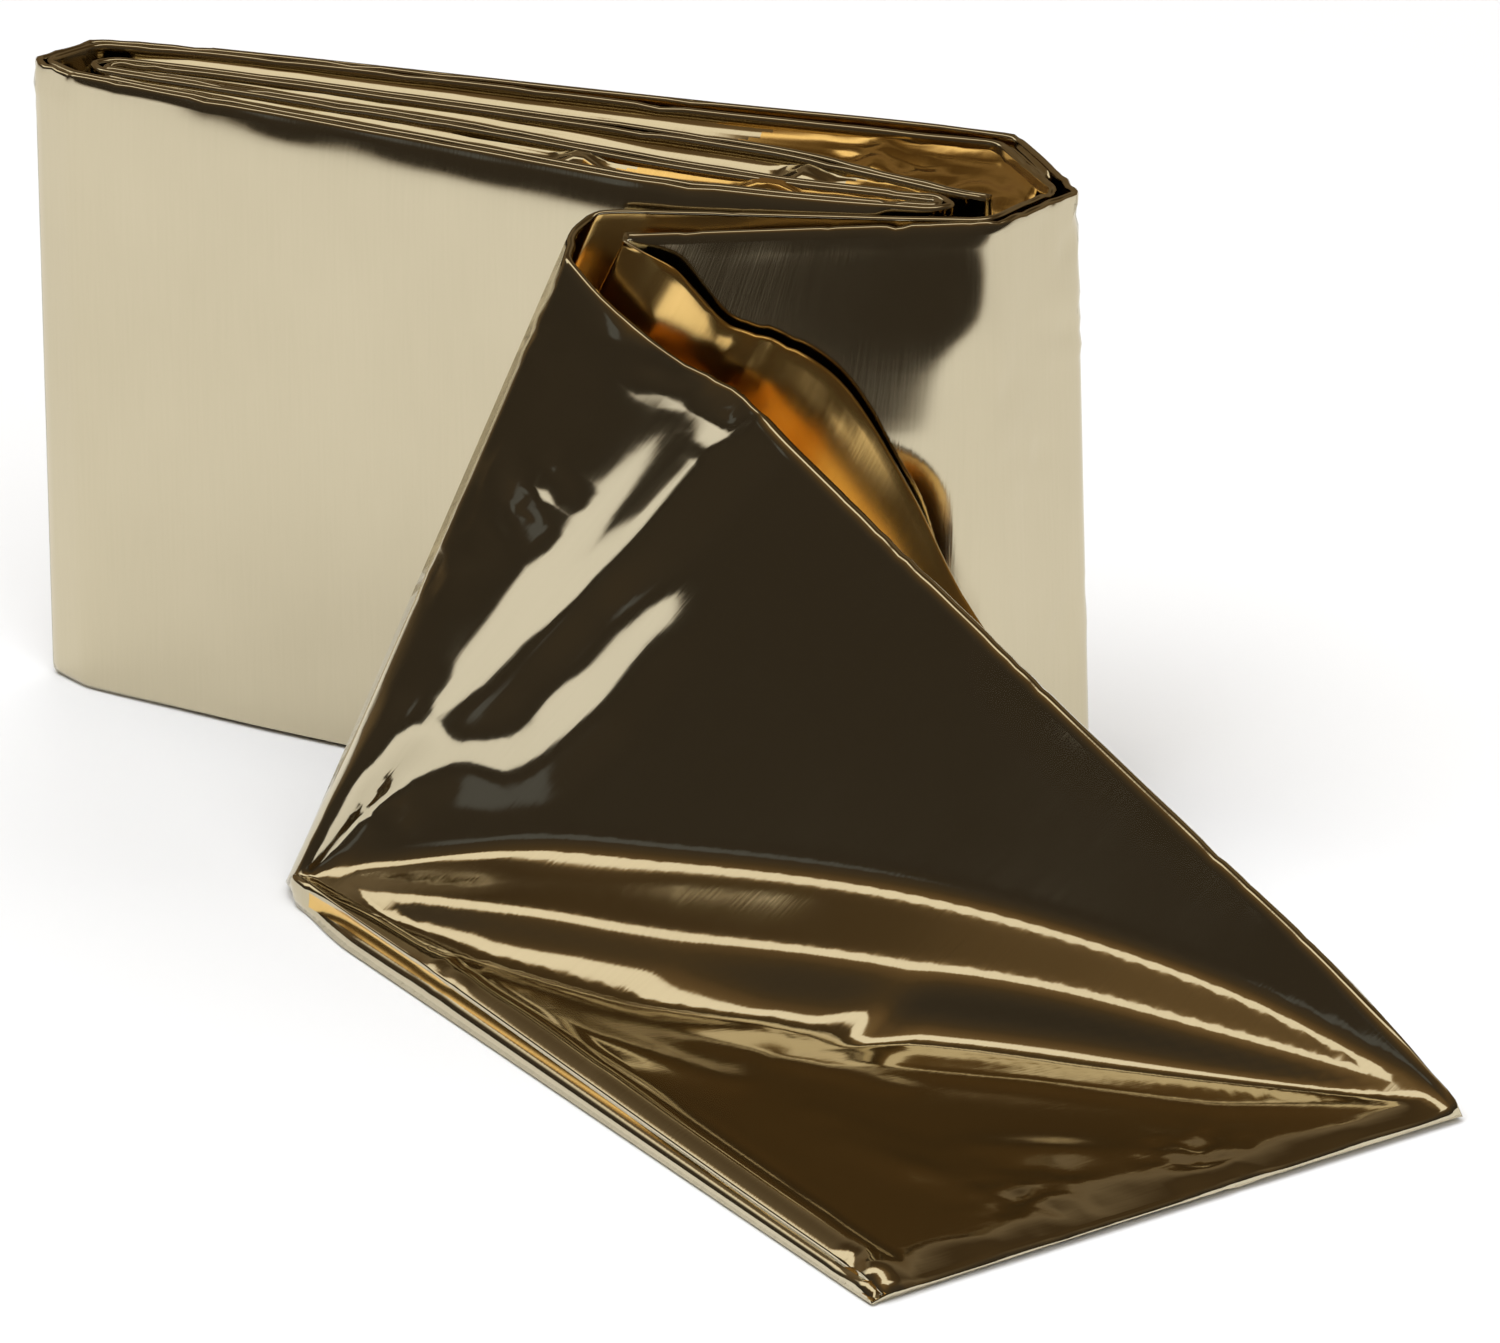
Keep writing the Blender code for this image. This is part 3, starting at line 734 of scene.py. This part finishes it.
def worn_edge(layer, out, places, along, seed):
    """Small waves and nicks along a layer's upper edge."""
    near = smooth(1.0 - (1.0 - SHARES) * BAND / WAVE_DEPTH)
    waves = np.array([noise.noise(Vector((s / WAVE_LENGTH, seed, 0.0))) for s in along])
    dips = np.array([abs(noise.noise(Vector((s / NICK_LENGTH, seed, 5.0)))) for s in along])
    kept = 1.0 - smooth((places - TAIL - WORN_FADE[0]) / (WORN_FADE[1] - WORN_FADE[0]))
    side = (WAVE * waves * kept)[:, None] * near
    down = (NICK * (NICK_LEVEL - dips) * kept)[:, None] * near
    moved = layer + out * side[..., None]
    moved[..., 2] += np.minimum(down, 0.0)
    return moved


def sheet_grid():
    """Rows of points across the band: down L, through the lower fold, and up R."""
    left, right, places = sections()
    push = leaf_push(left, places)[..., None]
    left_out, right_out = outward(left, -1.0), outward(right, 1.0)
    left_relief = layer_relief(left, places, (), LEFT_CRUMPLES)
    right_relief = layer_relief(right, places, RIGHT_CREASES, RIGHT_CRUMPLES)
    shared = (push + shoulder(left, places)[..., None]) * left_out
    left = left + shared + left_out * left_relief[..., None]
    right = right + shared + right_out * right_relief[..., None]
    run = np.concatenate([[0.0], np.cumsum(np.linalg.norm(np.diff(left[:, -1], axis=0), axis=1))])
    left = worn_edge(left, left_out, places, run, 1.0)
    right = worn_edge(right, right_out, places, run, 4.0)
    hems = (HEM_LEFT, HEM_RIGHT, HEM_RADIUS)
    left_turn, right_turn, radius = (np.interp(places, HEM_PLACES, row) for row in hems)
    left = hem(left, left_out, np.full(len(places), HEM_LEFT_RADIUS), np.radians(left_turn))
    right = hem(right, right_out, radius, np.radians(right_turn))
    low_l, low_r = left[:, 0], right[:, 0]
    inward = (left[:, 3] - low_l) + (right[:, 3] - low_r)
    inward /= np.linalg.norm(inward, axis=1)[:, None]
    tail = smooth((places - TAIL) / GROOVE_START)
    depth = (-FOLD_BULGE + (GROOVE + FOLD_BULGE) * tail)[:, None]
    fold = [
        low_l + (low_r - low_l) * part + inward * depth * 4.0 * part * (1.0 - part)
        for part in FOLD_PARTS
    ]
    return np.concatenate([left[:, ::-1], np.stack(fold, axis=1), right], axis=1)


def grid_mesh(name, grid, closed=True):
    """Faces over a grid of points in millimetres. A closed grid's last row is shut across."""
    rows, columns = grid.shape[:2]
    points = (grid.reshape(-1, 3) + np.array([*TIP, 0.0])) * MM
    faces = []
    for row in range(rows - 1):
        for column in range(columns - 1):
            corner = row * columns + column
            faces.append((corner, corner + 1, corner + columns + 1, corner + columns))
    last = (rows - 1) * columns
    for column in range(columns // 2 - 1 if closed else 0):
        across = last + columns - 1 - column
        faces.append((last + column, last + column + 1, across - 1, across))
    mesh = bpy.data.meshes.new(name)
    mesh.from_pydata(points.tolist(), [], faces)
    mesh.validate()
    return mesh


class Socket:
    """An output socket with arithmetic on values."""

    def __init__(self, tree, output):
        self.tree, self.output = tree, output

    def _maths(self, operation, *values):
        return self.tree.node("ShaderNodeMath", {"operation": operation}, *values)

    def __add__(self, other):
        return self._maths("ADD", self, other)

    __radd__ = __add__

    def __mul__(self, other):
        return self._maths("MULTIPLY", self, other)

    __rmul__ = __mul__

    def __sub__(self, other):
        return self._maths("SUBTRACT", self, other)

    def __rsub__(self, other):
        return self._maths("SUBTRACT", other, self)

    def __truediv__(self, other):
        return self._maths("DIVIDE", self, other)

    def __rtruediv__(self, other):
        return self._maths("DIVIDE", other, self)

    def __abs__(self):
        return self._maths("ABSOLUTE", self)


class Tree:
    """A node tree that takes a node's type, its settings, then values or links for its sockets."""

    def __init__(self, owner):
        owner.use_nodes = True
        self.tree = owner.node_tree
        self.tree.nodes.clear()

    def node(self, kind, settings, *values, output=0, **named):
        node = self.tree.nodes.new(kind)
        for key, value in settings.items():
            if key == "stops":
                self.set_stops(node.color_ramp, value)
            else:
                setattr(node, key, value)
        wanted = list(enumerate(values)) + [(key.replace("_", " "), value) for key, value in named.items()]
        for key, value in wanted:
            if value is not None:
                self.feed(node.inputs[key], value)
        return Socket(self, node.outputs[output]) if len(node.outputs) else node

    def set_stops(self, ramp, stops):
        while len(ramp.elements) < len(stops):
            ramp.elements.new(0.5)
        for element, (place, colour) in zip(ramp.elements, stops):
            element.position = place
            element.color = (*colour, 1.0) if isinstance(colour, tuple) else (colour, colour, colour, 1.0)

    def feed(self, socket, value):
        if isinstance(value, Socket):
            self.tree.links.new(value.output, socket)
        elif socket.type == "RGBA" and len(value) == 3:
            socket.default_value = (*value, 1.0)
        else:
            socket.default_value = value

    def mix(self, factor, first, second):
        skipped = [None] * 5  # the inputs of the mixes of values and of vectors
        return self.node("ShaderNodeMix", {"data_type": "RGBA"}, factor, *skipped, first, second, output=2)

    def eased(self, value, start, end):
        """A soft step from 0 where the value is at start to 1 where it is at end."""
        return self.node("ShaderNodeMapRange", {"interpolation_type": "SMOOTHSTEP"}, value, start, end)


def foil_material(name, light, deep, roughness):
    """Metallised film with fine lines and broad clouds from the rolling."""
    material = bpy.data.materials.new(name)
    tree = Tree(material)
    place = tree.node("ShaderNodeUVMap", {"uv_map": "band"})
    stretched = tree.node("ShaderNodeMapping", {}, Vector=place, Scale=GRAIN_SCALE)
    plane = {"noise_dimensions": "2D"}
    grain = tree.node("ShaderNodeTexNoise", plane, Vector=stretched, Scale=1.0, Detail=3.0)
    broad = tree.node("ShaderNodeMapping", {}, Vector=place, Scale=CLOUD_SCALE)
    cloud = tree.node("ShaderNodeTexNoise", plane, Vector=broad, Scale=1.0, Detail=2.0)
    colour = tree.mix(cloud * CLOUD_SHARE + grain * GRAIN_SHARE, light, deep)
    rough = roughness + GRAIN_ROUGH * grain + CLOUD_ROUGH * cloud
    bump = tree.node("ShaderNodeBump", {}, Strength=GRAIN_STRENGTH, Distance=GRAIN_DEPTH, Height=grain)
    shader = tree.node(
        "ShaderNodeBsdfPrincipled", {}, Base_Color=colour, Metallic=1.0, Roughness=rough, Normal=bump
    )
    tree.node("ShaderNodeOutputMaterial", {}, Surface=shader)
    return material


def new_object(name, mesh, materials):
    obj = bpy.data.objects.new(name, mesh)
    bpy.context.scene.collection.objects.link(obj)
    for material in materials:
        mesh.materials.append(material)
    return obj


def lay_flat(mesh, flat):
    """Writes each point's place on the flat foil, in metres, as the mesh's band map."""
    layer = mesh.uv_layers.new(name="band")
    loops = np.empty(len(mesh.loops), np.int32)
    mesh.loops.foreach_get("vertex_index", loops)
    layer.data.foreach_set("uv", flat[loops].ravel())


def thicken(obj, thickness, offset, other_side):
    """Gives a sheet its thickness. Its other side and rim take the material that many slots further on."""
    solidify = obj.modifiers.new("thickness", "SOLIDIFY")
    solidify.thickness = thickness * MM
    solidify.offset = offset
    solidify.material_offset = other_side
    solidify.material_offset_rim = other_side
    graph = bpy.context.evaluated_depsgraph_get()
    solid = bpy.data.meshes.new_from_object(obj.evaluated_get(graph))
    obj.modifiers.clear()
    obj.data = solid
    solid.name = obj.name
    solid.shade_smooth()
    return solid


def hand_over(obj):
    """Attaches a finished sheet to the root body, and hides the imported blanket."""
    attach(obj, "root")
    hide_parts("foil_blanket")


def foil_sheet(gold, champagne):
    """The whole doubled band, gold between its layers. The middle of the tail's groove also takes the gold
    foil, as a painted warm reflection on its champagne side.
    """
    grid = sheet_grid()
    mesh = grid_mesh("foil_sheet", grid)
    flat_faces = len(mesh.polygons)
    obj = new_object("foil_sheet", mesh, (gold, champagne))
    across = np.linalg.norm(np.diff(grid, axis=1), axis=2)
    v = np.concatenate([np.zeros((len(grid), 1)), np.cumsum(across, axis=1)], axis=1) * MM
    along = np.linalg.norm(np.diff(grid, axis=0), axis=2).mean(axis=1)
    u = np.concatenate([[0.0], np.cumsum(along)]) * MM
    lay_flat(mesh, np.stack([np.repeat(u[:, None], grid.shape[1], axis=1), v], axis=2).reshape(-1, 2))
    solid = thicken(obj, SHEET, 0.0, 1)
    columns = grid.shape[1] - 1
    middle = grid.shape[1] // 2
    # The groove's middle faces take the gold foil: a painted warm reflection on the champagne side
    for row in range(len(grid) - 1 - TAIL_STEPS, len(grid) - 1):
        for column in PAINTED_REFLECTION_COLUMNS:
            solid.polygons[flat_faces + row * columns + middle + column].material_index = 0
    for vertex in solid.vertices:
        vertex.co.z = max(vertex.co.z, 0.0)
    hand_over(obj)


def row_line(first, last, side):
    """Plan line of a layer of the packet between two rows, by x."""
    rows = np.array(sorted(PACKET[first : last + 1]))
    return rows[:, 0], rows[:, 1] + side * rows[:, 2] / 2.0


def inner_fold(gold, champagne, name, before, behind, start, end, gold_from, tents):
    """A strip of creased foil that shows between two leaves, low in front and high behind."""
    x = np.arange(start, end, INNER_STEP)
    front = np.interp(x, *row_line(*before))
    back = np.interp(x, *row_line(*behind))
    gap = np.maximum(back - front, LEAST_GAP)
    parts = np.linspace(0.0, 1.0, INNER_COLUMNS)
    facets = np.minimum((parts * len(INNER_SLOPES)).astype(int), len(INNER_SLOPES) - 1)
    grid = np.zeros((len(x), INNER_COLUMNS, 3))
    for i, place in enumerate(x):
        spots = [Vector((place / SLOPE_LENGTH, 3.0 * k, start + gold_from)) for k in range(len(INNER_SLOPES))]
        change = np.array([1.0 + SLOPE_CHANGE * noise.noise(spot) for spot in spots])
        slopes = (np.array(INNER_SLOPES) * change)[facets]
        rise = np.concatenate([[0.0], np.cumsum((slopes[1:] + slopes[:-1]) / 2.0)]) / (INNER_COLUMNS - 1)
        drop = min(rise[-1] * gap[i], INNER_MOST)
        rise /= rise[-1]
        grid[i, :, 0] = place
        grid[i, :, 1] = front[i] + gap[i] * parts
        top = INNER_TOP * min(1.0, max(NARROW, gap[i] / WIDE))
        grid[i, :, 2] = BAND - top - drop * (1.0 - rise)
        rough = CRINKLE_MORE * float(smooth((place - CRINKLE_FROM) / CRINKLE_REACH))
        rough = CRINKLE_LEAST + rough * min(gap[i] / CRINKLE_GAP, 1.0)
        for k in range(INNER_COLUMNS):
            spot = Vector((place / CRINKLE_SIZE[0], grid[i, k, 1] / CRINKLE_SIZE[1], start))
            dent = CRINKLE_LEVEL - CRINKLE_DENT * abs(noise.noise(spot))
            grid[i, k, 2] += rough * dent * math.sin(math.pi * parts[k]) ** 0.5
        for at, width, height in tents:
            reach = max(0.0, 1.0 - abs(place - at) / width)
            grid[i, :, 2] += height * reach * np.sin(math.pi * parts) ** TENT_POWER
    grid[..., 2] = np.minimum(grid[..., 2], BAND - INNER_CLEAR)
    hanging = np.array([[0.0, INNER_BEHIND, -down] for down in SKIRT])
    skirt = np.repeat(grid[:, :1], len(SKIRT), axis=1) + hanging
    grid = np.concatenate([skirt, grid + np.array([0.0, INNER_BEHIND, 0.0])], axis=1)
    mesh = grid_mesh(name, grid, closed=False)
    obj = new_object(name, mesh, (champagne, gold))
    for polygon in mesh.polygons:
        place, side = polygon.center.x / MM - TIP[0], polygon.center.y / MM - TIP[1]
        slant = GOLD_SLANT * (side - np.interp(place, x, front)) / np.interp(place, x, gap)
        polygon.material_index = int(place > gold_from + slant)
    lay_flat(mesh, grid[..., :2].reshape(-1, 2) * MM)
    thicken(obj, INNER_SHEET, 1.0, 0)
    hand_over(obj)


def floor():
    """The pale floor, just under the blanket."""
    bpy.ops.mesh.primitive_plane_add(size=FLOOR_SIZE, location=(0.0, 0.0, -FLOOR_DROP))
    obj = bpy.context.object
    obj.name = "floor"
    material = bpy.data.materials.new("pale_floor")
    tree = Tree(material)
    shader = tree.node("ShaderNodeBsdfPrincipled", {}, Base_Color=FLOOR_COLOUR, Roughness=FLOOR_ROUGHNESS)
    tree.node("ShaderNodeOutputMaterial", {}, Surface=shader)
    obj.data.materials.append(material)
    return obj


def area_light(name, place, size, energy):
    """A soft light that shines on the blanket and isn't seen in the foil."""
    data = bpy.data.lights.new(name, "AREA")
    data.shape = "RECTANGLE"
    data.size, data.size_y = size
    data.energy = energy
    data.color = LIGHT_TINT
    obj = bpy.data.objects.new(name, data)
    bpy.context.scene.collection.objects.link(obj)
    obj.location = place
    obj.rotation_euler = (Vector(LIGHT_TARGET) - Vector(place)).to_track_quat("-Z", "Y").to_euler()
    obj.visible_glossy = False


def studio():
    """The room that the foil reflects, and the lights."""
    world = bpy.data.worlds.new("studio")
    bpy.context.scene.world = world
    tree = Tree(world)
    way = tree.node("ShaderNodeTexCoord", {}, output=0)
    x, y, z = (tree.node("ShaderNodeSeparateXYZ", {}, way, output=k) for k in range(3))
    front = tree.node("ShaderNodeValToRGB", {"stops": FRONT_ROOM}, z * 0.5 + 0.5)
    back = tree.node("ShaderNodeValToRGB", {"stops": BACK_ROOM}, z * 0.5 + 0.5)
    side = tree.eased(y, *ROOM_TURN)
    reach = CEILING[-1][0]
    stops = [(place / reach, tint) for place, tint, share in CEILING]
    shares = [(place / reach, share) for place, tint, share in CEILING]
    ceiling = tree.node("ShaderNodeValToRGB", {"stops": stops}, abs(y) / reach)
    share = tree.node("ShaderNodeValToRGB", {"stops": shares}, abs(y) / reach)
    first, full, last, gone = CEILING_ENDS
    starts = tree.eased(x, first, full)
    stops_at = tree.eased(x, gone, last)
    near = tree.node("ShaderNodeVectorMath", {"operation": "DOT_PRODUCT"}, way, CARD_WAY, output=1)
    card = tree.eased(near, *CARD_EDGE)
    room = tree.mix(card, tree.mix(side, front, back), CARD)
    colour = tree.mix(share * starts * stops_at, room, ceiling)
    light = tree.node("ShaderNodeBackground", {}, Color=colour, Strength=1.0)
    tree.node("ShaderNodeOutputWorld", {}, Surface=light)
    for row in LIGHTS:
        area_light(*row)


def camera():
    data = bpy.data.cameras.new("camera")
    data.lens = LENS
    data.sensor_width = SENSOR
    data.clip_start, data.clip_end = CLIP
    obj = bpy.data.objects.new("camera", data)
    bpy.context.scene.collection.objects.link(obj)
    obj.location = CAMERA_PLACE
    obj.rotation_euler = (Vector(CAMERA_TARGET) - Vector(CAMERA_PLACE)).to_track_quat("-Z", "Y").to_euler()
    bpy.context.scene.camera = obj


for item in bpy.context.selected_objects:
    item.select_set(False)
camera()
studio()
floor()
gold_foil = foil_material("gold_foil", GOLD, GOLD_DEEP, GOLD_ROUGHNESS)
champagne_foil = foil_material("champagne_foil", CHAMPAGNE, CHAMPAGNE_DEEP, CHAMPAGNE_ROUGHNESS)
foil_sheet(gold_foil, champagne_foil)
for row in INNER_FOLDS:
    inner_fold(gold_foil, champagne_foil, *row)
bpy.context.scene.view_settings.view_transform = "Standard"
